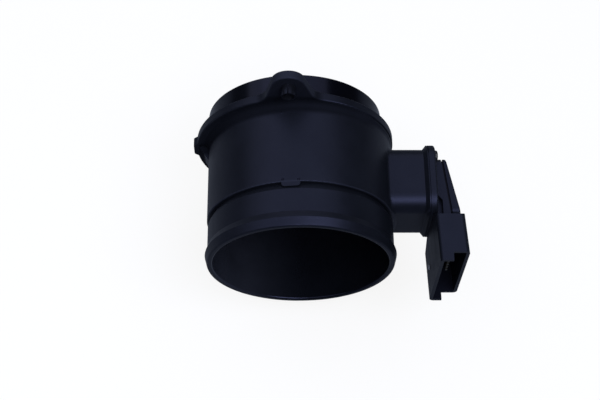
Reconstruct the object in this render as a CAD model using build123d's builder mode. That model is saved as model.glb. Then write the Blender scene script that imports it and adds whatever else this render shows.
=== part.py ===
from build123d import *
import os
from math import cos, hypot, radians, sin

# Mass airflow sensor: a moulded flow tube with a plug-in sensor on its side.
# Frame: the bore runs along Y. The inlet ring points to +Y and the hose end to -Y.
# The sensor stands out to +X. The origin is the centre of the flange's seat face.

os.makedirs("parts", exist_ok=True)

# ---- driving dimensions, millimetres -------------------------------------------------

# tube, on an axis set off from the inlet's towards the sensor
body_od = 72.0
outlet_shift = 1.9
body_length = 36.3
tube_length = 53.9
hose_step = 0.4
hose_wall = 2.2
bead_height = 0.9
bead_from_mouth = 3.4
bead_slope = 2.6
lip_radius = 0.8
step_edge = 0.3
groove_width = 2.6
groove_depth = 1.3
bore_blend = 9.0

# inlet ring and flange, centred on the Y axis
inlet_step = 1.65
inlet_wall = 2.15
inlet_length = 9.9
inlet_chamfer = 0.25
flange_step = 2.8
flange_thickness = 3.5
flange_edge = 0.5
cove_radius = 2.4

# tongue that bridges the groove, in line with the front ear
tongue_angle = 96.6
tongue_width = 6.9
tongue_length = 1.8
tongue_round = 1.2
tongue_root = 0.6

# ears that carry the screws from the air box, sleeved with rolled steel
ear_angle = 93.8
ear_count = 2
ear_reach = 7.8
ear_radius = 6.3
ear_root_depth = 2.3
ear_root_width = 19.6
ear_fillet = 7.0
sleeve_od = 5.2
sleeve_wall = 0.5
sleeve_length = 7.5
sleeve_seam = 0.4

# locating lug opposite the sensor
lug_reach = 1.2
lug_half_width = 3.0
lug_chamfer = 2.0
lug_gusset_step = 1.9
lug_gusset_length = 6.2

# neck that the sensor plugs into
neck_centre = -22.2
neck_width = 27.0
neck_depth = 27.6
neck_reach = 49.2
neck_corner = 6.0
neck_root = 1.6
neck_sink = 6.0
lip_overhang = 1.7
lip_slope = 1.4
lip_land = 0.2
slot_width = 20.0
slot_depth = 19.2
slot_corner = 2.0

# flow straightener at the inlet and the ring that holds it
recess_ledge = 1.0
grid_depth = 3.2
grid_pitch = 6.4
grid_web = 0.8
grid_rim = 2.0
ring_depth = 1.4
ring_width = 1.4
ring_gap = 7.0
fit_gap = 0.1

# sensor housing: plate on the neck, stem through it, probe in the flow
joint_gap = 0.4
joint_inset = 0.5
plate_thickness = 2.6
plate_edge = 0.8
stem_gap = 0.3
stem_foot = 0.6
core_width = 12.0
core_length = 6.0
core_depth = 4.0
probe_width = 17.6
probe_depth = 12.0
probe_tip = -3.5
probe_corner = 2.4
channel_top = 11.0
channel_depth = 8.8
cap_thickness = 1.4

# seal round the stem
seal_inset = 3.0
seal_length = 2.6
seal_thickness = 1.6

# electronics tray on the plate, closed by a wedge-shaped lid in a bead of adhesive
tray_half_width = 9.0
tray_wall = 1.4
tray_corner = 2.5
tray_start = -11.8
tray_depth_in_plate = 0.8
tray_step = -25.8
seam_low = 3.1
seam_high = 5.7
lid_low = 4.6
lid_high = 9.3
lid_gap = 0.6
lid_edge = 0.6
bead_thickness = 0.8
bead_inset = 0.8
pocket_start = -27.3
pocket_slope = 3.0
pocket_rise = 2.4
pocket_depth = 2.4
pocket_wall = 0.7

# connector shell, its inner half longer than its outer half
shell_half_width = 19.6
shell_top = -41.3
shell_shoulder = 4.5
shell_long = -60.1
shell_short = -56.8
shell_inner = -1.9
shell_inner_lean = 0.6
shell_outer = 8.9
shell_outer_lean = 1.0
shell_step = 3.5
shell_wall = 1.3
shell_floor = -45.3
shell_corner = 1.8
shell_round = 2.0

# terminals
terminal_count = 5
terminal_pitch = 2.54
terminal_thickness = 0.8
terminal_width = 1.2
terminal_tip = -53.3
terminal_line = 4.0
terminal_bend = -38.8
terminal_overlap = 1.5
terminal_round = 1.5

# circuit board and sensing parts
board_width = 15.0
board_length = 12.0
board_thickness = 0.7
chip_size = 5.0
chip_height = 1.2
chip_margin = 0.5
lead_count = 4
lead_pitch = 2.5
lead_size = 0.7
lead_end = 1.5
lead_offset = 2.0
film_length = 6.5
film_thickness = 0.4
thermistor_bead = 2.2
thermistor_lead = 0.6
thermistor_reach = 4.0
thermistor_x = 18.0

# screws that hold the sensor to the neck
screw_offset = 9.6
screw_side = 11.4
screw_head_od = 4.4
screw_head_height = 1.2
screw_socket = 2.2
screw_shank_od = 2.4
screw_length = 10.0
screw_end_gap = 0.5
screw_clear = 0.15

# ---- values worked out from them -----------------------------------------------------

body_r = body_od / 2
hose_r = body_r - hose_step
hose_bore_r = hose_r - hose_wall
bead_r = hose_r + bead_height
inlet_r = body_r - inlet_step
inlet_bore_r = inlet_r - inlet_wall
recess_r = inlet_bore_r + recess_ledge
flange_r = body_r + flange_step
ear_circle_radius = flange_r + ear_reach
ear_root_radius = flange_r - ear_root_depth
sleeve_bore = sleeve_od - 2 * sleeve_wall
step_y = -body_length
mouth_y = -tube_length
recess_floor = inlet_length - grid_depth - ring_depth
lip_x = neck_reach + lip_slope + lip_land
plate_x = lip_x + joint_gap
plate_top = plate_x + plate_thickness
plate_width = neck_width + 2 * lip_overhang
plate_depth = neck_depth + 2 * lip_overhang
plate_corner = neck_corner + lip_overhang
stem_width = slot_width - 2 * stem_gap
stem_depth = slot_depth - 2 * stem_gap
probe_base = hose_bore_r + stem_foot
seal_x = lip_x - seal_inset - seal_length
tray_floor = plate_top - tray_depth_in_plate
tray_end = shell_top + shell_shoulder + lid_gap
board_y = tray_start - tray_wall - board_length / 2 - fit_gap
terminal_x = plate_top + terminal_line
terminal_foot_x = tray_floor + board_thickness + terminal_thickness / 2
terminal_foot_y = board_y - board_length / 2 + terminal_overlap
shell_end = shell_top + shell_shoulder
outlet_axis = Axis((outlet_shift, 0, 0), (0, 1, 0))


def station(y):
    """Plane across the bore, its sketch axes along X and Z, facing the hose end."""
    return Plane(origin=(0, y, 0), x_dir=(1, 0, 0), z_dir=(0, -1, 0))


def side(x):
    """Plane across the sensor, its sketch axes along Y and Z, facing outwards."""
    return Plane(origin=(x, 0, 0), x_dir=(0, 1, 0), z_dir=(1, 0, 0))


def level(z):
    """Plane level with the bore, its sketch axes along X and Y."""
    return Plane.XY.offset(z)


def tangent(angle, radius):
    """Plane touching the tube at this angle, its sketch axes round the tube and along Y."""
    a = radians(angle)
    return Plane(
        origin=(outlet_shift + radius * cos(a), 0, radius * sin(a)),
        x_dir=(sin(a), 0, -cos(a)),
        z_dir=(cos(a), 0, sin(a)),
    )


def around_bolt(angle, radius):
    """Point of the flange at this angle and distance from the inlet axis."""
    return radius * cos(radians(angle)), radius * sin(radians(angle))


def leaning(low, high, y):
    """X at this Y of a face that leans from low to high above the plate along the tray."""
    return plate_top + low + (high - low) * (tray_start - y) / (tray_start - tray_end)


def shell_face(height, lean, y):
    """X at this Y of a face of the connector shell, which leans out towards its mouth."""
    return plate_top + height + lean * (shell_top - y) / (shell_top - shell_long)


rim_low = seam_low - bead_thickness / 2
rim_high = seam_high - bead_thickness / 2
lid_foot_low = seam_low + bead_thickness / 2
lid_foot_high = seam_high + bead_thickness / 2
screw_places = [
    (neck_centre + screw_offset, screw_side),
    (neck_centre - screw_offset, -screw_side),
]
ear_angles = [ear_angle + i * 360 / ear_count for i in range(ear_count)]

# ---- flow tube -----------------------------------------------------------------------

# one ear, pointing along the sketch's first axis
with BuildSketch() as ear_outline:
    with Locations((ear_circle_radius, 0)):
        Circle(ear_radius)
    with Locations((ear_root_radius / 2, 0)):
        Rectangle(ear_root_radius, ear_root_width)
    make_hull()

# hollow rounding between the flange's back and the tube
with BuildPart() as cove:
    with BuildSketch(Plane.XY):
        with BuildLine():
            cove_edge = outlet_shift + body_r + cove_radius
            cove_end = -flange_thickness - cove_radius
            Polyline(
                (cove_edge, -flange_thickness),
                (outlet_shift + hose_bore_r, -flange_thickness),
                (outlet_shift + hose_bore_r, cove_end),
                (cove_edge - cove_radius, cove_end),
            )
            CenterArc((cove_edge, cove_end), cove_radius, 90, 90)
        make_face()
    revolve(axis=outlet_axis)
    with BuildSketch(station(-flange_thickness)):
        Circle(flange_r - flange_edge)
    extrude(amount=cove_radius, mode=Mode.INTERSECT)

with BuildPart() as flow_tube:
    # flange with its ears
    with BuildSketch(station(0)):
        Circle(flange_r)
        with PolarLocations(0, ear_count, start_angle=ear_angle):
            add(ear_outline.sketch)
    extrude(amount=flange_thickness)
    ear_roots = edges().filter_by(Axis.Y).filter_by(
        lambda e: abs(hypot(e.center().X, e.center().Z) - flange_r) < 0.01)
    fillet(ear_roots, ear_fillet)
    fillet(edges().group_by(Axis.Y)[0] + edges().group_by(Axis.Y)[-1], flange_edge)

    # tube body with the neck's foot rounded into it
    with BuildSketch(station(-flange_edge)):
        with Locations((outlet_shift, 0)):
            Circle(body_r)
    extrude(amount=body_length + 2 * neck_root)
    add(cove.part)
    with BuildSketch(side(hose_bore_r - neck_sink)):
        with Locations((neck_centre, 0)):
            RectangleRounded(neck_width, neck_depth, neck_corner)
    extrude(amount=neck_reach - hose_bore_r + neck_sink)
    neck_foot = edges(Select.NEW).filter_by(lambda e: e.center().X < neck_reach - neck_root)
    fillet(neck_foot, neck_root)

    # the body's far edge, slightly rounded
    with BuildSketch(Plane.XY):
        with BuildLine():
            cut_x = outlet_shift + body_r
            cut_end = step_y - 3 * neck_root
            Polyline(
                (cut_x, step_y + step_edge),
                (cut_x + neck_root + 1, step_y + step_edge),
                (cut_x + neck_root + 1, cut_end),
                (outlet_shift, cut_end),
                (outlet_shift, step_y),
                (cut_x - step_edge, step_y),
            )
            CenterArc((cut_x - step_edge, step_y + step_edge), step_edge, 270, 90)
        make_face()
    revolve(axis=outlet_axis, mode=Mode.SUBTRACT)

    # locating lug with its gusset
    lug_x = -flange_r - lug_reach
    with BuildSketch(station(0)):
        Polygon(
            (lug_x, -lug_half_width),
            (lug_x, lug_half_width),
            (lug_x + lug_chamfer, lug_half_width + lug_chamfer),
            (outlet_shift - body_r, lug_half_width + lug_chamfer),
            (outlet_shift - body_r, -lug_half_width - lug_chamfer),
            (lug_x + lug_chamfer, -lug_half_width - lug_chamfer),
            align=None,
        )
    extrude(amount=flange_thickness)
    with BuildSketch(level(-lug_half_width)):
        with BuildLine():
            gusset_root = outlet_shift - body_r
            Polyline(
                (lug_x + lug_gusset_step, -flange_thickness),
                (gusset_root, -flange_thickness - lug_gusset_length),
                (gusset_root + 1, -flange_thickness - lug_gusset_length),
                (gusset_root + 1, -flange_thickness),
                close=True,
            )
        make_face()
    extrude(amount=2 * lug_half_width)

    # lip of the neck
    with BuildSketch(side(neck_reach)):
        with Locations((neck_centre, 0)):
            RectangleRounded(neck_width, neck_depth, neck_corner)
    with BuildSketch(side(neck_reach + lip_slope)):
        with Locations((neck_centre, 0)):
            RectangleRounded(plate_width, plate_depth, plate_corner)
    loft()
    extrude(faces().sort_by(Axis.X)[-1], amount=lip_land)

    # inlet ring
    with BuildSketch(station(inlet_length)):
        Circle(inlet_r)
    extrude(amount=inlet_length)
    chamfer(edges().sort_by(Axis.Y)[-1], inlet_chamfer)

    # hose end: undercut groove, plain length, bead and lip
    with BuildSketch(Plane.XY):
        with BuildLine():
            bead_y = mouth_y + bead_from_mouth
            Polyline(
                (outlet_shift, step_y),
                (outlet_shift + hose_r - groove_depth, step_y),
                (outlet_shift + hose_r, step_y - groove_width),
                (outlet_shift + hose_r, bead_y + bead_slope),
                (outlet_shift + bead_r, bead_y),
                (outlet_shift + hose_r, mouth_y),
                (outlet_shift, mouth_y),
                close=True,
            )
        make_face()
    revolve(axis=outlet_axis)

    # tongue across the groove
    with BuildSketch(tangent(tongue_angle, body_r)):
        with Locations((0, step_y)):
            RectangleRounded(tongue_width, 2 * tongue_length, tongue_round)
    extrude(amount=-groove_depth - tongue_root)

    # bore: straight inlet, blend across the shift, straight hose end
    with BuildSketch(station(inlet_length)):
        Circle(recess_r)
    extrude(amount=inlet_length - recess_floor, mode=Mode.SUBTRACT)
    with BuildSketch(station(recess_floor)):
        Circle(inlet_bore_r)
    extrude(amount=recess_floor, mode=Mode.SUBTRACT)
    with BuildSketch(station(0)):
        Circle(inlet_bore_r)
    with BuildSketch(station(-bore_blend)):
        with Locations((outlet_shift, 0)):
            Circle(hose_bore_r)
    loft(mode=Mode.SUBTRACT)
    with BuildSketch(station(-bore_blend)):
        with Locations((outlet_shift, 0)):
            Circle(hose_bore_r)
    extrude(amount=tube_length - bore_blend, mode=Mode.SUBTRACT)

    # slot through the neck for the stem, screw holes and sleeve holes
    with BuildSketch(side(hose_bore_r - neck_sink)):
        with Locations((neck_centre, 0)):
            RectangleRounded(slot_width, slot_depth, slot_corner)
    extrude(amount=lip_x - hose_bore_r + neck_sink, mode=Mode.SUBTRACT)
    with BuildSketch(side(lip_x)):
        with Locations(*screw_places):
            Circle(screw_shank_od / 2)
    extrude(amount=plate_top - screw_length - screw_end_gap - lip_x, mode=Mode.SUBTRACT)
    with BuildSketch(station(0)):
        with PolarLocations(ear_circle_radius, ear_count, start_angle=ear_angle):
            Circle(sleeve_od / 2)
    extrude(amount=flange_thickness, mode=Mode.SUBTRACT)

    # rounded rim at the mouth
    fillet(edges().group_by(Axis.Y)[0], lip_radius)

flow_tube.part.label = "flow_tube"
export_step(flow_tube.part, "parts/flow_tube.step")

# ---- flow straightener, its ring and the ear sleeves -------------------------------

with BuildPart() as flow_grid:
    grid_r = recess_r - fit_gap
    with BuildSketch(station(recess_floor + grid_depth)):
        Circle(grid_r)
    extrude(amount=grid_depth)
    with BuildSketch(station(recess_floor + grid_depth)):
        cells = int(grid_r / grid_pitch) * 2 + 1
        with HexLocations(grid_pitch / 2, cells, cells) as comb:
            centres = [p for p in comb.local_locations
                       if hypot(p.position.X, p.position.Y) < grid_r - grid_rim - grid_pitch / 2]
        with Locations(*centres):
            RegularPolygon((grid_pitch - grid_web) / 2, 6, major_radius=False)
    extrude(amount=grid_depth, mode=Mode.SUBTRACT)

flow_grid.part.label = "flow_grid"
export_step(flow_grid.part, "parts/flow_grid.step")

# snap ring with a gap to squeeze it shut
with BuildPart() as grid_ring:
    with BuildSketch(station(recess_floor + grid_depth + ring_depth)):
        Circle(recess_r)
        Circle(recess_r - ring_width, mode=Mode.SUBTRACT)
        with Locations((0, -recess_r)):
            Rectangle(ring_gap, 4 * ring_width, mode=Mode.SUBTRACT)
    extrude(amount=ring_depth)

grid_ring.part.label = "grid_ring"
export_step(grid_ring.part, "parts/grid_ring.step")

# rolled sleeves with their seam turned away from the tube
for angle, place in zip(ear_angles, ("front", "back")):
    with BuildPart() as sleeve:
        with BuildSketch(station(0)):
            with Locations(around_bolt(angle, ear_circle_radius)):
                Circle(sleeve_od / 2)
                Circle(sleeve_bore / 2, mode=Mode.SUBTRACT)
            with Locations(around_bolt(angle, ear_circle_radius + sleeve_od / 2)):
                Rectangle(sleeve_seam, 2 * sleeve_od - 2 * sleeve_bore, mode=Mode.SUBTRACT)
        extrude(amount=sleeve_length)
    sleeve.part.label = "sleeve_" + place
    export_step(sleeve.part, "parts/sleeve_" + place + ".step")

# ---- leads and terminals, moulded into the housing ------------------------------------

lead_places = [(i - (lead_count - 1) / 2) * lead_pitch for i in range(lead_count)]
terminal_places = [(i - (terminal_count - 1) / 2) * terminal_pitch for i in range(terminal_count)]

leads = []
for i, z in enumerate(lead_places):
    with BuildPart() as lead:
        with BuildSketch(side(lead_end)):
            with Locations((neck_centre + lead_offset, z)):
                Rectangle(lead_size, lead_size)
        extrude(amount=tray_floor - lead_end)
    lead.part.label = f"sensor_lead_{i + 1}"
    export_step(lead.part, f"parts/sensor_lead_{i + 1}.step")
    leads.append(lead.part)

terminals = []
for i, z in enumerate(terminal_places):
    with BuildPart() as terminal:
        with BuildSketch(level(z - terminal_width / 2)):
            with BuildLine():
                FilletPolyline(
                    (terminal_foot_x, terminal_foot_y),
                    (terminal_foot_x, tray_step),
                    (terminal_x, terminal_bend),
                    (terminal_x, terminal_tip),
                    radius=terminal_round,
                )
            trace(line_width=terminal_thickness)
        extrude(amount=terminal_width)
    terminal.part.label = f"terminal_{i + 1}"
    export_step(terminal.part, f"parts/terminal_{i + 1}.step")
    terminals.append(terminal.part)

# ---- sensor housing ------------------------------------------------------------------

# block of the connector shell
with BuildPart() as shell_block:
    with BuildSketch(side(plate_top + shell_inner)):
        Polygon(
            (shell_long, -shell_half_width),
            (shell_top, -shell_half_width),
            (shell_end, -tray_half_width),
            (shell_end, tray_half_width),
            (shell_top, shell_half_width),
            (shell_long, shell_half_width),
            align=None,
        )
    extrude(amount=shell_outer + shell_outer_lean - shell_inner)
    with BuildSketch(level(-shell_half_width)):
        Polygon(
            (shell_face(shell_inner, shell_inner_lean, shell_end), shell_end),
            (shell_face(shell_outer, shell_outer_lean, shell_end), shell_end),
            (shell_face(shell_outer, shell_outer_lean, shell_long), shell_long),
            (shell_face(shell_inner, shell_inner_lean, shell_long), shell_long),
            align=None,
        )
        fillet(vertices().group_by(Axis.Y)[-1].sort_by(Axis.X)[-1], shell_round)
    extrude(amount=2 * shell_half_width, mode=Mode.INTERSECT)
    shell_sides = edges().filter_by(
        lambda e: abs(abs(e.center().Z) - shell_half_width) < 0.01
        and shell_long < e.center().Y - 1 < shell_top - 2)
    fillet(shell_sides, shell_corner)

with BuildPart() as sensor_housing:
    # plate on the neck, the step that leaves the joint groove, and the stem
    with BuildSketch(side(plate_x)):
        with Locations((neck_centre, 0)):
            RectangleRounded(plate_width, plate_depth, plate_corner)
    extrude(amount=plate_thickness)
    fillet(faces().sort_by(Axis.X)[-1].edges(), plate_edge)
    with BuildSketch(side(lip_x)):
        with Locations((neck_centre, 0)):
            RectangleRounded(plate_width, plate_depth, plate_corner)
        offset(amount=-joint_inset)
    extrude(amount=joint_gap)
    with BuildSketch(side(probe_base)):
        with Locations((neck_centre, 0)):
            RectangleRounded(stem_width, stem_depth, slot_corner - stem_gap)
    extrude(amount=lip_x - probe_base)
    with BuildSketch(side(probe_base)):
        with Locations((neck_centre, 0)):
            RectangleRounded(probe_width, probe_depth, probe_corner)
    extrude(amount=probe_tip + cap_thickness - probe_base)

    # electronics tray, its rim leaning out towards the shell
    with BuildSketch(level(-tray_half_width)):
        with BuildLine():
            Polyline(
                (tray_floor, tray_start),
                (leaning(rim_low, rim_high, tray_start), tray_start),
                (leaning(rim_low, rim_high, tray_end), tray_end),
                (leaning(rim_low, rim_high, tray_end), shell_top),
                (tray_floor, shell_top),
                close=True,
            )
        make_face()
    extrude(amount=2 * tray_half_width)
    tray_front = edges().filter_by(Axis.X).filter_by(lambda e: abs(e.center().Y - tray_start) < 0.01)
    fillet(tray_front.filter_by(lambda e: e.center().X > plate_top), tray_corner)

    # connector shell with sloping shoulders
    add(shell_block.part)

    # pockets under the tray, one on each side
    for z in (pocket_depth - tray_half_width, tray_half_width):
        with BuildSketch(level(z - pocket_depth)):
            with BuildLine():
                Polyline(
                    (plate_top, pocket_start),
                    (plate_top + pocket_rise, pocket_start - pocket_slope),
                    (plate_top + pocket_rise, shell_end),
                    (plate_top, shell_end),
                    close=True,
                )
            make_face()
        extrude(amount=pocket_depth, mode=Mode.SUBTRACT)

    # space for the board, then a narrower ramp for the terminals, open under the lid
    with BuildSketch(level(tray_wall - tray_half_width)):
        with BuildLine():
            Polyline(
                (tray_floor, tray_start - tray_wall),
                (leaning(lid_low, lid_high, tray_start), tray_start - tray_wall),
                (leaning(lid_low, lid_high, tray_step), tray_step),
                (tray_floor, tray_step),
                close=True,
            )
        make_face()
    extrude(amount=2 * (tray_half_width - tray_wall), mode=Mode.SUBTRACT)
    ramp_half_width = tray_half_width - pocket_depth - pocket_wall
    with BuildSketch(level(-ramp_half_width)):
        with BuildLine():
            Polyline(
                (tray_floor, tray_step),
                (leaning(lid_low, lid_high, tray_step), tray_step),
                (leaning(lid_low, lid_high, tray_end), tray_end + tray_wall),
                (terminal_x - terminal_thickness, tray_end + tray_wall),
                close=True,
            )
        make_face()
    extrude(amount=2 * ramp_half_width, mode=Mode.SUBTRACT)

    # socket, and the outer half of the shell cut back
    with BuildSketch(level(shell_wall - shell_half_width)):
        with BuildLine():
            Polyline(
                (shell_face(shell_inner, shell_inner_lean, shell_floor) + shell_wall, shell_floor),
                (shell_face(shell_inner, shell_inner_lean, shell_long) + shell_wall, shell_long),
                (shell_face(shell_outer, shell_outer_lean, shell_long) - shell_wall, shell_long),
                (shell_face(shell_outer, shell_outer_lean, shell_floor) - shell_wall, shell_floor),
                close=True,
            )
        make_face()
    extrude(amount=2 * (shell_half_width - shell_wall), mode=Mode.SUBTRACT)
    with BuildSketch(side(plate_top + shell_step)):
        with Locations(((shell_long + shell_short) / 2, 0)):
            Rectangle(shell_short - shell_long, 2 * shell_half_width)
    extrude(amount=shell_outer + shell_outer_lean, mode=Mode.SUBTRACT)

    # cored stem, groove for the seal
    for sign in (-1, 1):
        with BuildSketch(level(sign * (stem_depth / 2 - core_depth))):
            with Locations(((probe_base + seal_x) / 2, neck_centre)):
                RectangleRounded(core_length, core_width, 1)
        extrude(amount=sign * core_depth, mode=Mode.SUBTRACT)
    with BuildSketch(side(seal_x)):
        with Locations((neck_centre, 0)):
            RectangleRounded(slot_width, slot_depth, slot_corner)
            Rectangle(slot_width - 2 * seal_thickness, slot_depth - 2 * seal_thickness, mode=Mode.SUBTRACT)
    extrude(amount=seal_length, mode=Mode.SUBTRACT)

    # measuring channel along the flow
    channel_end = probe_tip + cap_thickness
    with BuildSketch(side(channel_end)):
        with Locations((neck_centre, 0)):
            Rectangle(probe_width, channel_depth)
    extrude(amount=channel_top - channel_end, mode=Mode.SUBTRACT)

    # holes for the leads, terminals and screws
    for piece in leads + terminals:
        add(piece, mode=Mode.SUBTRACT)
    with BuildSketch(side(lip_x)):
        with Locations(*screw_places):
            Circle(screw_shank_od / 2 + screw_clear)
    extrude(amount=joint_gap + plate_thickness, mode=Mode.SUBTRACT)

sensor_housing.part.label = "sensor_housing"
export_step(sensor_housing.part, "parts/sensor_housing.step")

# ---- probe cap, seal, board and lid ---------------------------------------------------

with BuildPart() as probe_cap:
    with BuildSketch(side(probe_tip)):
        with Locations((neck_centre, 0)):
            RectangleRounded(probe_width, probe_depth, probe_corner)
    extrude(amount=cap_thickness)
    fillet(faces().sort_by(Axis.X)[0].edges(), cap_thickness / 2)

probe_cap.part.label = "probe_cap"
export_step(probe_cap.part, "parts/probe_cap.step")

with BuildPart() as neck_seal:
    with BuildSketch(side(seal_x)):
        with Locations((neck_centre, 0)):
            RectangleRounded(slot_width, slot_depth, slot_corner)
            Rectangle(slot_width - 2 * seal_thickness, slot_depth - 2 * seal_thickness, mode=Mode.SUBTRACT)
    extrude(amount=seal_length)

neck_seal.part.label = "neck_seal"
export_step(neck_seal.part, "parts/neck_seal.step")

with BuildPart() as circuit_board:
    with BuildSketch(side(tray_floor)):
        with Locations((board_y, 0)):
            Rectangle(board_length, board_width)
    extrude(amount=board_thickness)

circuit_board.part.label = "circuit_board"
export_step(circuit_board.part, "parts/circuit_board.step")

with BuildPart() as board_chip:
    with BuildSketch(side(tray_floor + board_thickness)):
        with Locations((board_y + board_length / 2 - chip_size / 2 - chip_margin, 0)):
            Rectangle(chip_size, chip_size)
    extrude(amount=chip_height)
    chamfer(faces().sort_by(Axis.X)[-1].edges(), 0.15)

board_chip.part.label = "board_chip"
export_step(board_chip.part, "parts/board_chip.step")

# the lid lies over the tray's rim with a bead of adhesive between them
with BuildPart() as housing_lid:
    with BuildSketch(level(-tray_half_width)):
        Polygon(
            (leaning(lid_foot_low, lid_foot_high, tray_start), tray_start),
            (leaning(lid_low, lid_high, tray_start), tray_start),
            (leaning(lid_low, lid_high, tray_end), tray_end),
            (leaning(lid_foot_low, lid_foot_high, tray_end), tray_end),
            align=None,
        )
    extrude(amount=2 * tray_half_width)
    fillet(edges().filter_by(Axis.X), tray_corner)
    lid_outside = faces().filter_by(lambda f: f.normal_at().X > 0.5)
    fillet(lid_outside.edges(), lid_edge)

housing_lid.part.label = "housing_lid"
export_step(housing_lid.part, "parts/housing_lid.step")

with BuildPart() as lid_bead:
    with BuildSketch(side(plate_top)):
        with Locations(((tray_start + tray_end) / 2, 0)):
            tray_length = tray_start - tray_end
            Rectangle(tray_length - 2 * bead_inset, 2 * (tray_half_width - bead_inset))
            Rectangle(tray_length - 2 * tray_wall, 2 * (tray_half_width - tray_wall), mode=Mode.SUBTRACT)
        fillet(vertices().group_by(Axis.Y)[-1] + vertices().group_by(Axis.Y)[0], tray_corner - bead_inset)
    extrude(amount=lid_high)
    with BuildSketch(level(-tray_half_width)):
        Polygon(
            (leaning(rim_low, rim_high, tray_start), tray_start),
            (leaning(lid_foot_low, lid_foot_high, tray_start), tray_start),
            (leaning(lid_foot_low, lid_foot_high, tray_end), tray_end),
            (leaning(rim_low, rim_high, tray_end), tray_end),
            align=None,
        )
    extrude(amount=2 * tray_half_width, mode=Mode.INTERSECT)

lid_bead.part.label = "lid_bead"
export_step(lid_bead.part, "parts/lid_bead.step")

# ---- sensing films, air thermistor and screws -----------------------------------------

for name, pair in (("hot_film", lead_places[:2]), ("reference_film", lead_places[-2:])):
    with BuildPart() as film:
        film_y = neck_centre + lead_offset + lead_size / 2 + film_thickness / 2
        with BuildSketch(side(lead_end - film_length / 2)):
            with Locations((film_y, sum(pair) / 2)):
                Rectangle(film_thickness, lead_pitch + lead_size)
        extrude(amount=film_length)
    film.part.label = name
    export_step(film.part, f"parts/{name}.step")

with BuildPart() as air_thermistor:
    foot_y = neck_centre + probe_width / 2
    with BuildSketch(Plane(origin=(thermistor_x, foot_y, 0), x_dir=(1, 0, 0), z_dir=(0, 1, 0))):
        with Locations((0, -thermistor_bead / 3), (0, thermistor_bead / 3)):
            Circle(thermistor_lead / 2)
    extrude(amount=thermistor_reach)
    with Locations((thermistor_x, foot_y + thermistor_reach, 0)):
        Sphere(thermistor_bead / 2)

air_thermistor.part.label = "air_thermistor"
export_step(air_thermistor.part, "parts/air_thermistor.step")

for name, (y, z) in zip(("screw_front", "screw_back"), screw_places):
    with BuildPart() as screw:
        with BuildSketch(side(plate_top)):
            with Locations((y, z)):
                Circle(screw_head_od / 2)
        extrude(amount=screw_head_height)
        fillet(edges().sort_by(Axis.X)[-1], screw_head_height / 4)
        with BuildSketch(side(plate_top)):
            with Locations((y, z)):
                Circle(screw_shank_od / 2)
        extrude(amount=-screw_length)
        with BuildSketch(side(plate_top + screw_head_height)):
            with Locations((y, z)):
                RegularPolygon(screw_socket / 2, 6)
        extrude(amount=-screw_head_height * 0.6, mode=Mode.SUBTRACT)
    screw.part.label = name
    export_step(screw.part, f"parts/{name}.step")
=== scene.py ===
# %% [markdown]
# A mass airflow sensor in textured black plastic.
# The real part is a short moulded tube that sits between an air box and a rubber hose.
# A second moulding, the sensor with its connector, is screwed to a neck on the tube's side.
# The CAD model gives every solid its place and shape, and here each one gets its finish. What
# is too fine for the CAD is modelled, as the screws' heads and threads are, or drawn in the
# finish: mould seams, gate marks, worn edges and the grain of the mould.

# %% Load the CAD model
import math

import bmesh
import bpy
from mathutils import Matrix, Vector


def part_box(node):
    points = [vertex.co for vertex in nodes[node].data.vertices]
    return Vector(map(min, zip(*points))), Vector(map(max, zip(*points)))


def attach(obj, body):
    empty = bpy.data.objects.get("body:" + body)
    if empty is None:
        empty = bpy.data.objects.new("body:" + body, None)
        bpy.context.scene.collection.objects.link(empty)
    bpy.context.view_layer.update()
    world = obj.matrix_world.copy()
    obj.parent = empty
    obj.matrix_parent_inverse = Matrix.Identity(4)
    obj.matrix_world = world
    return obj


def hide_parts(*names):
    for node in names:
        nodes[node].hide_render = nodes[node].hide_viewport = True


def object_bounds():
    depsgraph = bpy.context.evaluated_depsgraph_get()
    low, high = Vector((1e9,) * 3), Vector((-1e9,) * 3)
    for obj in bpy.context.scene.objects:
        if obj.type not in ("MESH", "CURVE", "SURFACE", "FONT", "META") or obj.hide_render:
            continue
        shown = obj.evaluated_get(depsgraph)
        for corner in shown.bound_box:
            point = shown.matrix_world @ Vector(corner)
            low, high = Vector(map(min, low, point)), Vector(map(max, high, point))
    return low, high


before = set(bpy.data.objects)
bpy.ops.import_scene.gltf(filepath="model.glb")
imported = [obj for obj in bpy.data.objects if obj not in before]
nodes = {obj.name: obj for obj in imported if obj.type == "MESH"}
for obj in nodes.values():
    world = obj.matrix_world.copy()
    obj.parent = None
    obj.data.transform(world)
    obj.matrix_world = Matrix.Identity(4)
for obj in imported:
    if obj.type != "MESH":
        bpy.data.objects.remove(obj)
cad_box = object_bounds()
MM = 0.001
print("CAD nodes:", len(nodes))
print("CAD box in mm:", [[round(v / MM, 1) for v in corner] for corner in cad_box])

# %% [markdown]
# The camera looks down on the part from the hose end, as one holds it to look into the tube.
# Its lens is long for its picture, so that the tube is little distorted. Its turn is built from
# two directions, where it looks and what is to its right, because they can be read at a glance,
# and three angles can't.

# %% Camera
scene = bpy.context.scene
camera_data = bpy.data.cameras.new("camera")
camera_data.lens = 72
camera_data.sensor_width = 36
camera_data.clip_start = 0.01
camera_data.clip_end = 20
camera = bpy.data.objects.new("camera", camera_data)
scene.collection.objects.link(camera)

camera_place = Vector((-7.8, -236.2, 417.65)) * MM
forward = Vector((0.0206, 0.4497, -0.8929)).normalized()
right = Vector((0.9998, -0.0093, 0.0184))
right = (right - right.dot(forward) * forward).normalized()
up = right.cross(forward)
turn = Matrix((right, up, -forward)).transposed()
camera.matrix_world = Matrix.Translation(camera_place) @ turn.to_4x4()
scene.camera = camera
scene.view_settings.view_transform = "Standard"
print("camera", round(camera_place.length / MM), "mm from the origin")

# %% [markdown]
# Colours, grain and wear come from shader nodes, and most of them need some arithmetic.
# Blender has a Math node for each step, and a mask of ten steps is hard to follow as ten nodes.
# This class wraps a socket, so that an expression such as 1 - mask adds those nodes by itself.

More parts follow.
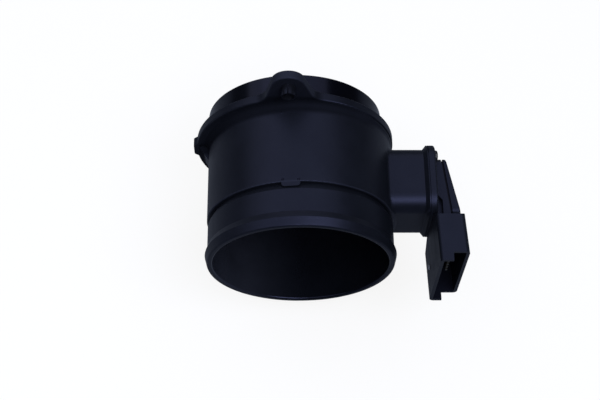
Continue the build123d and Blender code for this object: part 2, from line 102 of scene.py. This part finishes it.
# %% Shader maths


class Wire:
    """A socket of a shader tree. Python's operators on it add the Math nodes."""

    def __init__(self, tree, socket):
        self.tree = tree
        self.socket = socket

    def _math(self, operation, *terms):
        node = self.tree.nodes.new("ShaderNodeMath")
        node.operation = operation
        for place, term in zip(node.inputs, terms):
            if isinstance(term, Wire):
                self.tree.links.new(term.socket, place)
            else:
                place.default_value = term
        return Wire(self.tree, node.outputs[0])

    def __add__(self, other):
        return self._math("ADD", self, other)

    __radd__ = __add__

    def __mul__(self, other):
        return self._math("MULTIPLY", self, other)

    __rmul__ = __mul__

    def __sub__(self, other):
        return self._math("SUBTRACT", self, other)

    def __rsub__(self, other):
        return self._math("SUBTRACT", other, self)

    def __gt__(self, other):
        return self._math("GREATER_THAN", self, other)

    def __lt__(self, other):
        return self._math("LESS_THAN", self, other)

    def __pow__(self, other):
        return self._math("POWER", self, other)

    def __abs__(self):
        return self._math("ABSOLUTE", self)

    def clamp(self):
        """Held between 0 and 1."""
        wire = self._math("ADD", self, 0.0)
        wire.socket.node.use_clamp = True
        return wire

    def zigzag(self, half):
        """Rises and falls between 0 and this height, over and over."""
        return self._math("PINGPONG", self, half)

    def smooth(self, low, high):
        """0 below low, 1 above high, and a soft ramp between them."""
        t = ((self - low) * (1 / (high - low))).clamp()
        return t * t * (3 - 2 * t)

    def near(self, value, width):
        """1 at this value, falling softly to 0 at this distance from it."""
        return 1 - abs(self - value).smooth(0.0, width)


print("operators on sockets ready")

# %% [markdown]
# A finish is one material with its Principled shader. Every other node comes from one method,
# which sets the node's own settings first, because they can change its sockets, and then its
# inputs. Patterns read Object coordinates, because they stay on the part when it moves and need
# no unwrapping. Sizes are given in millimetres, as they would be in a mould maker's notes.

# %% Finishes


class Finish:
    """A material with a Principled shader, and short ways to wire its nodes."""

    def __init__(self, name):
        self.material = bpy.data.materials.new(name)
        self.material.use_nodes = True
        self.tree = self.material.node_tree
        self.tree.nodes.clear()
        self.output = self.tree.nodes.new("ShaderNodeOutputMaterial")
        self.shader = self.tree.nodes.new("ShaderNodeBsdfPrincipled")
        self.tree.links.new(self.shader.outputs[0], self.output.inputs[0])

    def node(self, kind, settings=None, numbered=None, out=0, **named):
        """Adds a node, sets its settings, then its inputs, and returns one output.

        Inputs go by name, or by number where a node has the same name twice.
        """
        made = self.tree.nodes.new("ShaderNode" + kind)
        for key, value in (settings or {}).items():
            setattr(made, key, value)
        for number, value in (numbered or {}).items():
            self.plug(value, made.inputs[number])
        for key, value in named.items():
            self.plug(value, made.inputs[key.replace("_", " ")])
        return Wire(self.tree, made.outputs[out])

    def plug(self, value, socket):
        """Links a wire to a socket, or sets the socket to a plain value."""
        if isinstance(value, Wire):
            self.tree.links.new(value.socket, socket)
        else:
            socket.default_value = value

    def set(self, **inputs):
        """Sets or links the Principled shader's inputs."""
        for key, value in inputs.items():
            self.plug(value, self.shader.inputs[key.replace("_", " ")])

    def where(self):
        """Object coordinates, in metres."""
        return self.node("TexCoord", out=3)

    def xyz(self):
        """The three object coordinates as numbers in millimetres."""
        parts = self.node("SeparateXYZ", Vector=self.where()).socket.node
        return [Wire(self.tree, place) * 1000.0 for place in parts.outputs]

    def noise(self, size, detail=2.0, stretch=None):
        """Noise whose features are about this many millimetres across."""
        at = self.where()
        if stretch:
            at = self.node("Mapping", Vector=at, Scale=stretch)
        return self.node("TexNoise", Vector=at, Scale=1000 / size, Detail=detail)

    def bump(self, height, depth):
        """Tilts the normal as a relief of this height, 0 to 1, and depth in millimetres would."""
        return self.node("Bump", Height=height, Distance=depth * MM, Strength=1.0)

    def mix(self, low, high, factor):
        """The colour low where the factor is 0, and high where it is 1."""
        return self.node("Mix", {"data_type": "RGBA"}, {0: factor, 6: low, 7: high}, out=2)

    def cover(self, factor, **inputs):
        """Lays a second Principled shader with these inputs over the first, by this factor."""
        below = Wire(self.tree, self.shader.outputs[0])
        above = self.node("BsdfPrincipled", **inputs)
        both = self.node("MixShader", None, {0: factor, 1: below, 2: above})
        self.tree.links.new(both.socket, self.output.inputs[0])


def dress(finish, *names):
    """Gives these CAD nodes this finish in place of their plain one."""
    for name in names:
        slots = nodes[name].data.materials
        slots.clear()
        slots.append(finish.material)
    print(finish.material.name, "on", ", ".join(names))


print("finish helper ready")

# %% [markdown]
# Black plastic shows its form by what it reflects, so the lamps matter more than its colour.
# One wide soft lamp hangs over the part, a little to its left and behind it. Tops reflect it
# and look pale, and faces that lean past its edge turn dark. A narrow lamp just under it makes
# a hotter strip, which puts a soft line along the tube. A smaller lamp in front lights the bead
# at the mouth and the rounded corners of the neck. The rest of the room is nearly dark.

# %% Lamps
def soft_lamp(name, place, target, size, power):
    data = bpy.data.lights.new(name, "AREA")
    data.shape = "RECTANGLE"
    data.size, data.size_y = size
    data.energy = power
    lamp = bpy.data.objects.new(name, data)
    scene.collection.objects.link(lamp)
    lamp.location = place
    lamp.rotation_mode = "QUATERNION"
    lamp.rotation_quaternion = (Vector(target) - Vector(place)).to_track_quat("-Z", "Y")
    lamp.visible_camera = False
    print(name, "of", power, "W")


soft_lamp("overhead lamp", place=(-0.3, 0.25, 0.55), target=(-0.3, 0.25, 0.0),
          size=(1.6, 1.7), power=8.4)
soft_lamp("hot strip", place=(-0.35, 0.3, 0.53), target=(-0.35, 0.3, 0.0),
          size=(0.28, 1.2), power=0.55)
soft_lamp("front lamp", place=(0.2, -0.36, 0.72), target=(0.0, 0.0, 0.0),
          size=(0.75, 0.4), power=5.4)

ROOM_LIGHT = 0.02
world = bpy.data.worlds.new("studio")
world.use_nodes = True
scene.world = world
sky = world.node_tree.nodes["Background"]
sky.inputs["Color"].default_value = (1, 1, 1, 1)
sky.inputs["Strength"].default_value = ROOM_LIGHT
print("room light", ROOM_LIGHT)

# %% [markdown]
# The floor is plain paper. To the camera it glows, so that it reads as white without more light
# on the part, and the part's soft shadow still lies on it. In reflections it glows too, but
# faintly and in a cool grey, or the black flanks would lose their depth.

# %% Floor
FLOOR_GAP = 0.2 * MM
FLOOR_HALF = 3.0
PAPER = (0.1, 0.115, 0.15, 1)
SEEN_GLOW = (0.85, 0.84, 0.82, 1)
MIRRORED_GLOW = (0.07, 0.08, 0.105, 1)
NO_GLOW = (0, 0, 0, 1)

floor_z = cad_box[0].z - FLOOR_GAP
signs = [(-1, -1), (1, -1), (1, 1), (-1, 1)]
corners = [(sx * FLOOR_HALF, sy * FLOOR_HALF, floor_z) for sx, sy in signs]
mesh = bpy.data.meshes.new("floor")
mesh.from_pydata(corners, [], [(0, 1, 2, 3)])
floor = bpy.data.objects.new("floor", mesh)
scene.collection.objects.link(floor)

paper = Finish("white paper")
camera_ray = paper.node("LightPath", out=0)
glossy_ray = paper.node("LightPath", out=3)
clear_ray = paper.node("LightPath", out=6)
glow = paper.mix(NO_GLOW, MIRRORED_GLOW, (glossy_ray + clear_ray).clamp())
paper.set(Base_Color=PAPER, Roughness=0.9, Emission_Strength=1.0,
          Emission_Color=paper.mix(glow, SEEN_GLOW, camera_ray))
floor.data.materials.append(paper.material)
print("floor at", round(floor_z / MM, 1), "mm")

# %% [markdown]
# Both mouldings are black nylon. The mould was spark-eroded, which leaves a fine even grain
# that takes the shine off. Under it the surface is never quite even: the melt leaves cloudy
# flow marks, and handling polishes a few patches. Noise at three sizes makes the three.
# The colour leans to blue, as this kind of black does in daylight, and so does its shine.

# %% Moulded plastic
NYLON = (0.0036, 0.0045, 0.0075)
BLUE_SHINE = (0.42, 0.48, 1.0, 1)
CLOUD_SIZE = 11.0
PATCH_SIZE = 3.2
RELIEF_DEPTH = 0.12  # millimetres that a height of 1 stands for
GRAIN_SHARE = 0.18  # of that depth


def tone_of(colour, factor):
    """A colour made darker or lighter, with its alpha."""
    return tuple(min(1.0, c * factor) for c in colour) + (1,)


def moulded(name, colour, rough, grain=0.35):
    """Black plastic with a mould grain of this size in millimetres.

    Returns the finish, its roughness and its grain, so that a piece can add to both.
    """
    finish = Finish(name)
    clouds = finish.noise(CLOUD_SIZE, detail=3.0)
    polish = finish.noise(PATCH_SIZE, stretch=(1, 0.4, 1))
    specks = finish.noise(grain, detail=1.0)
    tone = (clouds * 0.5 + specks * 0.5).smooth(0.3, 0.7)
    finish.colour = finish.mix(tone_of(colour, 0.8), tone_of(colour, 1.25), tone)
    finish.set(Base_Color=finish.colour, Specular_IOR_Level=0.23, Specular_Tint=BLUE_SHINE)
    return finish, rough + (clouds - 0.5) * 0.12 + (polish - 0.5) * 0.08, specks


print("nylon is", NYLON)

# %% [markdown]
# The tube isn't the same all over. The ring that slides into the air box and the whole bore are
# polished in the mould, so that they seal and let the air pass. Their places are known from the
# CAD: the ring is all that lies beyond the flange, and the bore is all inside a radius. The ears
# are painted paler, as painted light from the front, and the step into the groove gets a painted
# highlight, a pale line along its edge.
# Each place becomes a mask, a number that is 1 on it and 0 elsewhere. A pair of values says
# where the mask's soft edge starts and ends, in millimetres along the tube or out from its axis.

# %% Places on the tube
HOSE_AXIS = 1.9  # the hose end's axis stands this far from the inlet ring's, to the sensor
RING_FOOT = (0.2, 0.6)
BORE_WALL = (33.7, 34.2)
COVE_START = (-8.4, -6.2)
COVE_END = (-3.7, -3.3)
COVE_FLOOR = (35.7, 35.95)
COVE_FADE = (20.0, 32.0)  # across, towards the sensor
STEP_EDGE = -36.15
STEP_WIDTH = 0.4
STEP_RIM = (35.3, 35.6)
EAR_START = (39.0, 41.0)

tube, rough, grain = moulded("tube plastic", NYLON, 0.42)
x, y, z = tube.xyz()
from_axis = ((x - HOSE_AXIS) * (x - HOSE_AXIS) + z * z) ** 0.5
ring = y.smooth(*RING_FOOT)
bore = 1 - from_axis.smooth(*BORE_WALL)
polished = (ring + bore).clamp()
cove = y.smooth(*COVE_START) * (1 - y.smooth(*COVE_END)) * from_axis.smooth(*COVE_FLOOR)
cove = cove * (1 - x.smooth(*COVE_FADE))
step_edge = y.near(STEP_EDGE, STEP_WIDTH) * from_axis.smooth(*STEP_RIM)
ears = abs(z).smooth(*EAR_START) * (1 - ring)
print("masks: ring, bore, cove, step edge, ears")

# %% [markdown]
# Moulding leaves small marks. Ejector pins leave pits, here two beside the tongue and two on the
# lug, dented by the relief and painted dark as painted shade in their hollows. The melt came in
# at a gate, which leaves a dot below the front ear. A fine parting line runs along the side away
# from the sensor, where the two mould halves met. The bead at the mouth wears in patches, and the
# bore's side away from the sensor is painted lighter, as painted light that falls in at the
# mouth.

# %% Marks on the tube
def dot(finish_xyz, place, radius):
    """1 inside a small round spot of this radius about this place, in millimetres."""
    gaps = [axis - value for axis, value in zip(finish_xyz, place)]
    away = (gaps[0] * gaps[0] + gaps[1] * gaps[1] + gaps[2] * gaps[2]) ** 0.5
    return 1 - away.smooth(radius * 0.6, radius)


PITS = [
    ((-5.2, -35.3, 35.3), 0.6),
    ((0.6, -35.6, 36.0), 0.6),
    ((-37.4, -3.4, 3.0), 0.55),
    ((-35.6, -3.6, 3.0), 0.55),
]
GATE = ((-5.7, -7.3, 35.2), 0.6)
PARTING_WIDTH = 0.14
PARTING_SIDE = (-34.2, -33.8)
BEAD_TOP = 36.5
BEAD_WIDTH = 0.35
BEAD_END = (-51.5, -50.5)
BORE_LIGHT_FADE = (-42.0, 8.0)

pits = sum(dot((x, y, z), place, radius) for place, radius in PITS)
gate = dot((x, y, z), *GATE)
parting = z.near(0.0, PARTING_WIDTH) * (1 - x.smooth(*PARTING_SIDE)) * (1 - bore)
patches = tube.noise(1.6) > 0.56
worn = from_axis.near(BEAD_TOP, BEAD_WIDTH) * (1 - y.smooth(*BEAD_END)) * patches
# Painted light: the bore's side away from the sensor is made lighter, as by light falling in at
# the mouth.
bore_light = bore * (1 - x.smooth(*BORE_LIGHT_FADE)) * (tube.noise(8.0, detail=3.0) * 0.7 + 0.5)
print("marks:", len(PITS), "pits, a gate, a parting line, wear and dust")

# %% [markdown]
# The masks meet in one shader. Polished places lose their grain and their roughness, and the
# ears get rougher. In the cove, the corner where the flange meets the tube, a second shader,
# matt, nearly black and without shine, covers the first: painted shade, which also hides the
# reflection there.

# %% Tube plastic
POLISH_AND_SHADE = (0.001, 0.0012, 0.0024, 1)
RUBBED = (0.012, 0.014, 0.026, 1)
PAINTED_LIGHT_TONE = (0.01, 0.012, 0.021, 1)
BORE_LIGHT_TONE = (0.019, 0.022, 0.036, 1)
COVE_SHADE_TONE = (0.003, 0.0036, 0.006, 1)

colour = tube.mix(tube.colour, RUBBED, worn * 0.6)
# The polished ring is darker, and the bore and the ejector pits are darkened as painted shade.
colour = tube.mix(colour, POLISH_AND_SHADE, (pits + bore * 0.55 + ring * 0.6).clamp())
# Painted light on the bore's side away from the sensor.
colour = tube.mix(colour, BORE_LIGHT_TONE, bore_light)
# Painted light on the ears, and a painted highlight along the step edge.
colour = tube.mix(colour, PAINTED_LIGHT_TONE, (ears * 0.7 + step_edge * 0.9).clamp())
height = grain * (1 - polished) * GRAIN_SHARE + parting * 0.5 + gate * 0.9 - pits * 1.6
rough = rough * (1 - polished) + 0.2 * polished + cove * 0.3 + ears * 0.2
tube.set(Base_Color=colour, Roughness=rough.clamp(), Normal=tube.bump(height, RELIEF_DEPTH))
# Painted shade in the cove: a matt, nearly black cover without shine.
tube.cover(cove * 0.7, Base_Color=COVE_SHADE_TONE, Roughness=0.9, Specular_IOR_Level=0.0)
dress(tube, "flow_tube")

# %% [markdown]
# The sensor's housing is another moulding of the same black. A faint weld line runs along its
# connector shell, where the melt met again behind the socket, and the gloss changes in long
# soft stripes, the way the melt flowed. The socket's inside is matt and painted nearly black,
# as painted shade in the recess. Its place is a box of plain limits, two of them soft: the walls
# near the tube and far from it.

# %% Housing plastic
WELD_WIDTH = 0.2
WELD_END = (-44.0, -41.0)
SOCKET_NEAR = (52.7, 53.0)
SOCKET_FAR = (61.6, 61.9)
SOCKET_HALF_LENGTH = 18.5
SOCKET_MOUTH = -59.8
SOCKET_BACK = -45.0
UNLIT = (0.0008, 0.001, 0.0016, 1)

housing, rough, grain = moulded("housing plastic", NYLON, 0.42)
x, y, z = housing.xyz()
stripes = housing.noise(5.0, stretch=(1.0, 0.15, 1.0))
wavy = z + (housing.noise(6.0) - 0.5) * 1.6
weld = wavy.near(0.0, WELD_WIDTH) * (1 - y.smooth(*WELD_END))
socket = x.smooth(*SOCKET_NEAR) - x.smooth(*SOCKET_FAR)
socket = socket * (abs(z) < SOCKET_HALF_LENGTH) * (y < SOCKET_BACK) * (y > SOCKET_MOUTH)
# Painted shade: the socket's inside is darkened to nearly black.
housing.set(Base_Color=housing.mix(housing.colour, UNLIT, socket),
            Roughness=(rough + (stripes - 0.5) * 0.16 + socket * 0.45).clamp(),
            Normal=housing.bump(grain * GRAIN_SHARE + weld * 0.25, RELIEF_DEPTH))
dress(housing, "sensor_housing")

# %% [markdown]
# The lid comes from a third mould. It is a touch darker and duller, with shallow sink marks
# where the melt shrank as it cooled. The straightener and the probe's cap are a plain black
# with a shallow grain, because the air has to slip past them.

# %% Lid and inner plastic
lid, rough, grain = moulded("lid plastic", tuple(c * 0.9 for c in NYLON), 0.48, grain=0.3)
sink = lid.noise(7.0, detail=1.0)
lid.set(Roughness=rough, Normal=lid.bump(grain * GRAIN_SHARE + sink * 1.5, RELIEF_DEPTH))
dress(lid, "housing_lid")

inner, rough, grain = moulded("inner plastic", (0.012, 0.0125, 0.014), 0.5, grain=0.25)
inner.set(Roughness=rough, Normal=inner.bump(grain, 0.015))
dress(inner, "flow_grid", "probe_cap")

# %% [markdown]
# The soft parts are a moulded rubber seal and a bead of adhesive. The rubber is dull, with pale
# dust of the talc it ships in. The bead was squeezed from a nozzle, so it is wavy, and it has
# cured to a dull black.

# %% Rubber and adhesive
rubber = Finish("seal rubber")
talc = rubber.noise(1.4, detail=4.0).smooth(0.52, 0.68)
rubber.set(Base_Color=rubber.mix((0.012, 0.012, 0.013, 1), (0.06, 0.06, 0.06, 1), talc * 0.5),
           Roughness=0.62 + talc * 0.2, Normal=rubber.bump(rubber.noise(0.3), 0.02))
dress(rubber, "neck_seal")

glue = Finish("adhesive")
ripple = glue.noise(1.3, detail=1.0)
glue.set(Base_Color=glue.mix((0.002, 0.002, 0.003, 1), (0.006, 0.006, 0.008, 1), ripple),
         Roughness=0.6 + ripple * 0.2, Normal=glue.bump(ripple, 0.12),
         Specular_IOR_Level=0.1, Specular_Tint=BLUE_SHINE)
dress(glue, "lid_bead")

# %% [markdown]
# The metals differ mostly in how they were made. Strip that was rolled or stamped carries fine
# lines along its length, so the noise is stretched that way. The sleeves are coated with dark
# phosphate, which hardly looks like metal any more. The terminals' tin is painted a dark grey,
# as painted shade deep in the socket, while the leads and the spring ring are bright.

# %% Metals
def metal(name, colour, rough, along=(1, 1, 1), lines=0.25, metallic=1.0):
    """Metal with fine lines stretched along the axis whose factor is small."""
    finish = Finish(name)
    streaks = finish.noise(lines, detail=3.0, stretch=along)
    stains = finish.noise(2.5, detail=4.0)
    tone = (streaks * 0.5 + stains * 0.5).smooth(0.3, 0.7)
    finish.set(Base_Color=finish.mix(tone_of(colour, 0.72), tone_of(colour, 1.15), tone),
               Metallic=metallic, Normal=finish.bump(streaks, 0.004),
               Roughness=rough + (streaks - 0.5) * 0.18 + (stains - 0.5) * 0.12)
    return finish


phosphate = metal("sleeve steel", (0.006, 0.007, 0.011), 0.32, along=(1, 0.08, 1), metallic=0.25)
phosphate.set(Specular_IOR_Level=0.2, Specular_Tint=(0.38, 0.45, 1.0, 1))
dress(phosphate, "sleeve_front", "sleeve_back")

spring = metal("spring steel", (0.52, 0.52, 0.53), 0.3, along=(1, 0.2, 1))
dress(spring, "grid_ring")

# Painted shade: the terminals' tin is made dark grey, as they sit deep in the socket.
tin = metal("terminal metal", (0.075, 0.073, 0.07), 0.44, along=(1, 0.1, 1))
dress(tin, *[name for name in nodes if name.startswith("terminal_")])

lead_tin = metal("lead metal", (0.56, 0.54, 0.5), 0.36, along=(0.1, 1, 1))
dress(lead_tin, *[name for name in nodes if name.startswith("sensor_lead_")])

# %% [markdown]
# The board is a ceramic tile with printed tracks. They are drawn as stripes, a zigzag wave with
# its top cut off, and steps of noise break them up and shift them. The chip on it is moulded in
# a dull epoxy with a very fine grain.

# %% Board and chip
TRACK_PITCH = 1.2

board = Finish("board ceramic")
x, y, z = board.xyz()
lanes = (z + (board.noise(3.5) > 0.5) * 0.5).zigzag(TRACK_PITCH / 2)
track = (lanes - 0.32).smooth(0.0, 0.05) * (board.noise(4.5) > 0.42)
board.set(Base_Color=board.mix((0.72, 0.7, 0.64, 1), (0.3, 0.27, 0.2, 1), track),
          Roughness=0.5 - track * 0.2, Metallic=track * 0.6, Normal=board.bump(track, 0.02))
dress(board, "circuit_board")

chip = Finish("chip plastic")
mould_grain = chip.noise(0.2)
chip.set(Base_Color=chip.mix((0.012, 0.012, 0.013, 1), (0.025, 0.025, 0.026, 1), mould_grain),
         Roughness=0.55 + mould_grain * 0.15, Normal=chip.bump(mould_grain, 0.02))
dress(chip, "board_chip")

# %% [markdown]
# Each film is a glazed tile with a platinum meander, which a sharpened zigzag draws. The air
# thermistor is a drop of brown epoxy on tinned wires: one solid in the CAD, with two finishes
# that meet where the drop begins.

# %% Films and thermistor
MEANDER_PITCH = 0.5
DROP_START = (-10.9, -10.4)

film = Finish("film ceramic")
x, y, z = film.xyz()
lines = (x.zigzag(MEANDER_PITCH / 2) - 0.12).smooth(0.0, 0.03)
meander = lines * (film.noise(0.4) * 0.2 + 0.8)
film.set(Base_Color=film.mix((0.78, 0.77, 0.72, 1), (0.42, 0.41, 0.4, 1), meander),
         Metallic=meander * 0.8, Roughness=0.28 + film.noise(0.8) * 0.12,
         Normal=film.bump(meander, 0.01))
dress(film, "hot_film", "reference_film")

epoxy = Finish("epoxy and wire")
x, y, z = epoxy.xyz()
drop = y.smooth(*DROP_START)
streak = epoxy.noise(0.5, detail=3.0)
brown = epoxy.mix((0.09, 0.05, 0.02, 1), (0.16, 0.1, 0.04, 1), streak)
epoxy.set(Base_Color=epoxy.mix((0.55, 0.53, 0.48, 1), brown, drop), Metallic=1 - drop,
          Roughness=0.3 - drop * 0.12 + streak * 0.08, Normal=epoxy.bump(streak, 0.01))
dress(epoxy, "air_thermistor")

# %% [markdown]
# Round pieces are made of rings of points, joined into a skin. That is what a lathe makes, and
# also what no lathe can turn, because each ring may have its own outline. A ring of one point
# closes the skin. The normals are worked out at the end, so that all point outwards.

# %% Rings to a piece
def skin(name, loops, material):
    """Joins rings of places, first to last, and returns the piece as a smooth object."""
    shape = bmesh.new()
    loops = [[shape.verts.new(place) for place in loop] for loop in loops]
    steps = max(len(loop) for loop in loops)
    for one, other in zip(loops, loops[1:]):
        for step in range(steps):
            after = step + 1
            corners = [one[step % len(one)], other[step % len(other)],
                       other[after % len(other)], one[after % len(one)]]
            shape.faces.new(list(dict.fromkeys(corners)))
    bmesh.ops.recalc_face_normals(shape, faces=shape.faces)
    mesh = bpy.data.meshes.new(name)
    shape.to_mesh(mesh)
    shape.free()
    mesh.polygons.foreach_set("use_smooth", [True] * len(mesh.polygons))
    mesh.materials.append(material)
    made = bpy.data.objects.new(name, mesh)
    scene.collection.objects.link(made)
    print(name, "with", len(mesh.polygons), "faces")
    return made


def around(steps):
    """The angles of this many points around a circle."""
    return [2 * math.pi * step / steps for step in range(steps)]


# %% [markdown]
# The two screws that hold the sensor show only their heads. The CAD has a plain disc with a
# six-sided hole. The real head is a low button with a six-lobed drive, pressed cold. Each ring
# has a size, as a share of the head's radius, a depth below the top, and a share by which it
# swells and shrinks six times around: none at the rim, and most in the drive.

# %% Screw heads
screw_steel = metal("screw steel", (0.045, 0.047, 0.056), 0.42, lines=0.6)
HEAD_RINGS = [
    (0.0, 1.2, 0.0), (0.55, 1.2, 0.0), (0.93, 1.2, 0.0), (1.0, 1.08, 0.0), (1.0, 0.7, 0.0),
    (0.95, 0.4, 0.0), (0.84, 0.17, 0.0), (0.68, 0.05, 0.0), (0.55, 0.0, 0.03),
    (0.5, 0.03, 0.1), (0.47, 0.12, 0.12), (0.45, 0.8, 0.12), (0.2, 0.95, 0.04), (0.0, 1.0, 0.0),
]


def screw_head(name, node):
    low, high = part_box(node)
    middle = (low + high) / 2
    radius = (high.y - low.y) / 2
    loops = []
    for size, depth, lobe in HEAD_RINGS:
        height = high.x - depth * MM
        loop = []
        for angle in around(72) if size else [0.0]:
            r = radius * size * (1 + lobe * math.cos(6 * angle))
            loop.append((height, middle.y + r * math.cos(angle), middle.z + r * math.sin(angle)))
        loops.append(loop)
    head = skin(name, loops, screw_steel.material)
    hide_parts(node)
    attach(head, "root")


for name in ("screw_front", "screw_back"):
    screw_head(name + "_head", name)

# %% [markdown]
# Below each head a thread cuts into the plastic of the neck. A thread is one profile that
# follows a spiral, which is just what Geometry Nodes do well: a Spiral curve, a three-sided
# profile, and Curve to Mesh. A shank goes through it. The same screw is then set on every
# point of a small mesh, here the two screw places. The export drops instances, so the tree
# ends in Realize Instances and Set Material.

# %% Thread tree
def thread_tree(material):
    tree = bpy.data.node_groups.new("screw thread", "GeometryNodeTree")
    sockets = tree.interface
    sockets.new_socket("Geometry", in_out="INPUT", socket_type="NodeSocketGeometry")
    for label in ("Shank Radius", "Length", "Turns", "Crest"):
        sockets.new_socket(label, in_out="INPUT", socket_type="NodeSocketFloat")
    sockets.new_socket("Geometry", in_out="OUTPUT", socket_type="NodeSocketGeometry")

    def add(kind, **inputs):
        """Adds a node of this full type name, sets or links its inputs, and returns it."""
        node = tree.nodes.new(kind)
        for key, value in inputs.items():
            place = node.inputs[key.replace("_", " ")]
            if isinstance(value, bpy.types.NodeSocket):
                tree.links.new(value, place)
            else:
                place.default_value = value
        return node

    given = add("NodeGroupInput").outputs
    spiral = add("GeometryNodeCurveSpiral", Resolution=20, Rotations=given["Turns"],
                 Start_Radius=given["Shank Radius"], End_Radius=given["Shank Radius"],
                 Height=given["Length"])
    profile = add("GeometryNodeCurvePrimitiveCircle", Resolution=3, Radius=given["Crest"])
    thread = add("GeometryNodeCurveToMesh", Curve=spiral.outputs[0],
                 Profile_Curve=profile.outputs[0], Fill_Caps=True)
    shank = add("GeometryNodeMeshCylinder", Vertices=24, Radius=given["Shank Radius"],
                Depth=given["Length"])
    middle = add("ShaderNodeMath")
    middle.operation = "MULTIPLY"
    middle.inputs[1].default_value = 0.5
    tree.links.new(given["Length"], middle.inputs[0])
    lift = add("ShaderNodeCombineXYZ", Z=middle.outputs[0])
    raised = add("GeometryNodeTransform", Geometry=shank.outputs[0], Translation=lift.outputs[0])
    join = add("GeometryNodeJoinGeometry")
    tree.links.new(thread.outputs[0], join.inputs[0])
    tree.links.new(raised.outputs[0], join.inputs[0])
    laid = add("GeometryNodeTransform", Geometry=join.outputs[0],
               Rotation=(0.0, -math.pi / 2, 0.0))
    points = add("GeometryNodeMeshToPoints", Mesh=given["Geometry"])
    placed = add("GeometryNodeInstanceOnPoints", Points=points.outputs[0],
                 Instance=laid.outputs[0])
    real = add("GeometryNodeRealizeInstances", Geometry=placed.outputs[0])
    painted = add("GeometryNodeSetMaterial", Geometry=real.outputs[0], Material=material)
    output = add("NodeGroupOutput")
    tree.links.new(painted.outputs[0], output.inputs[0])
    return tree


tree = thread_tree(screw_steel.material)
print("thread tree with", len(tree.nodes), "nodes")

# %% [markdown]
# The tree runs on a mesh that holds only the two places, just under the heads. Its inputs are
# set by their identifiers before anything is evaluated. The result becomes one plain mesh,
# because both screws stand in the same body, and the helper goes.

# %% Screw threads
THREAD_START = 1.3 * MM
THREAD_SIZES = {"Shank Radius": 0.95 * MM, "Length": 9.4 * MM, "Turns": 8.0, "Crest": 0.24 * MM}

places = []
for name in ("screw_front", "screw_back"):
    low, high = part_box(name)
    places.append((high.x - THREAD_START, (low.y + high.y) / 2, (low.z + high.z) / 2))
seed_mesh = bpy.data.meshes.new("screw places")
seed_mesh.from_pydata(places, [], [])
seed = bpy.data.objects.new("screw places", seed_mesh)
scene.collection.objects.link(seed)
modifier = seed.modifiers.new("thread", "NODES")
modifier.node_group = tree
for item in tree.interface.items_tree:
    if item.in_out == "INPUT" and item.name in THREAD_SIZES:
        modifier[item.identifier] = THREAD_SIZES[item.name]
bpy.context.view_layer.update()
turned = seed.evaluated_get(bpy.context.evaluated_depsgraph_get())
threads_mesh = bpy.data.meshes.new_from_object(turned)
seed.modifiers.remove(modifier)
bpy.data.objects.remove(seed)

threads = bpy.data.objects.new("screw_threads", threads_mesh)
scene.collection.objects.link(threads)
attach(threads, "root")
print("threads:", len(threads_mesh.polygons), "faces")

# %% [markdown]
# On the connector's tube side sits a small oval pip, a nub of plastic that the mould leaves at
# an ejector pin. It is a low dome, made of rings as the screw heads are, but stretched along the
# tube. Its plastic is paler than the nylon around it: a painted highlight on the dome.

# %% Ejector pip
PIP_PLACE = (52.12, -49.8, -10.4)
PIP_PROUD = 0.9
PIP_SUNK = 0.3
PIP_ALONG = 1.35
PIP_ACROSS = 0.8
# Each ring's share of the width, and how far it lies below the top as a share of PIP_PROUD
PIP_RINGS = [(0.3, 0.04), (0.6, 0.2), (0.85, 0.5), (1.0, 1.0), (1.0, 1.6)]

# A painted highlight: the pip's plastic is paler than the nylon around it.
stub, rough, grain = moulded("pip highlight plastic", (0.09, 0.1, 0.13), 0.34)
stub.set(Roughness=rough, Normal=stub.bump(grain, 0.03))

pip_x, pip_y, pip_z = (value * MM for value in PIP_PLACE)
dome = [[(pip_x - PIP_PROUD * MM, pip_y, pip_z)]]
for size, drop in PIP_RINGS:
    dome.append([(pip_x - PIP_PROUD * MM * (1 - drop),
                  pip_y + PIP_ALONG * MM * size * math.cos(angle),
                  pip_z + PIP_ACROSS * MM * size * math.sin(angle)) for angle in around(32)])
dome.append([(pip_x + PIP_SUNK * MM, pip_y, pip_z)])
pip = skin("ejector_pip", dome, stub.material)
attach(pip, "root")
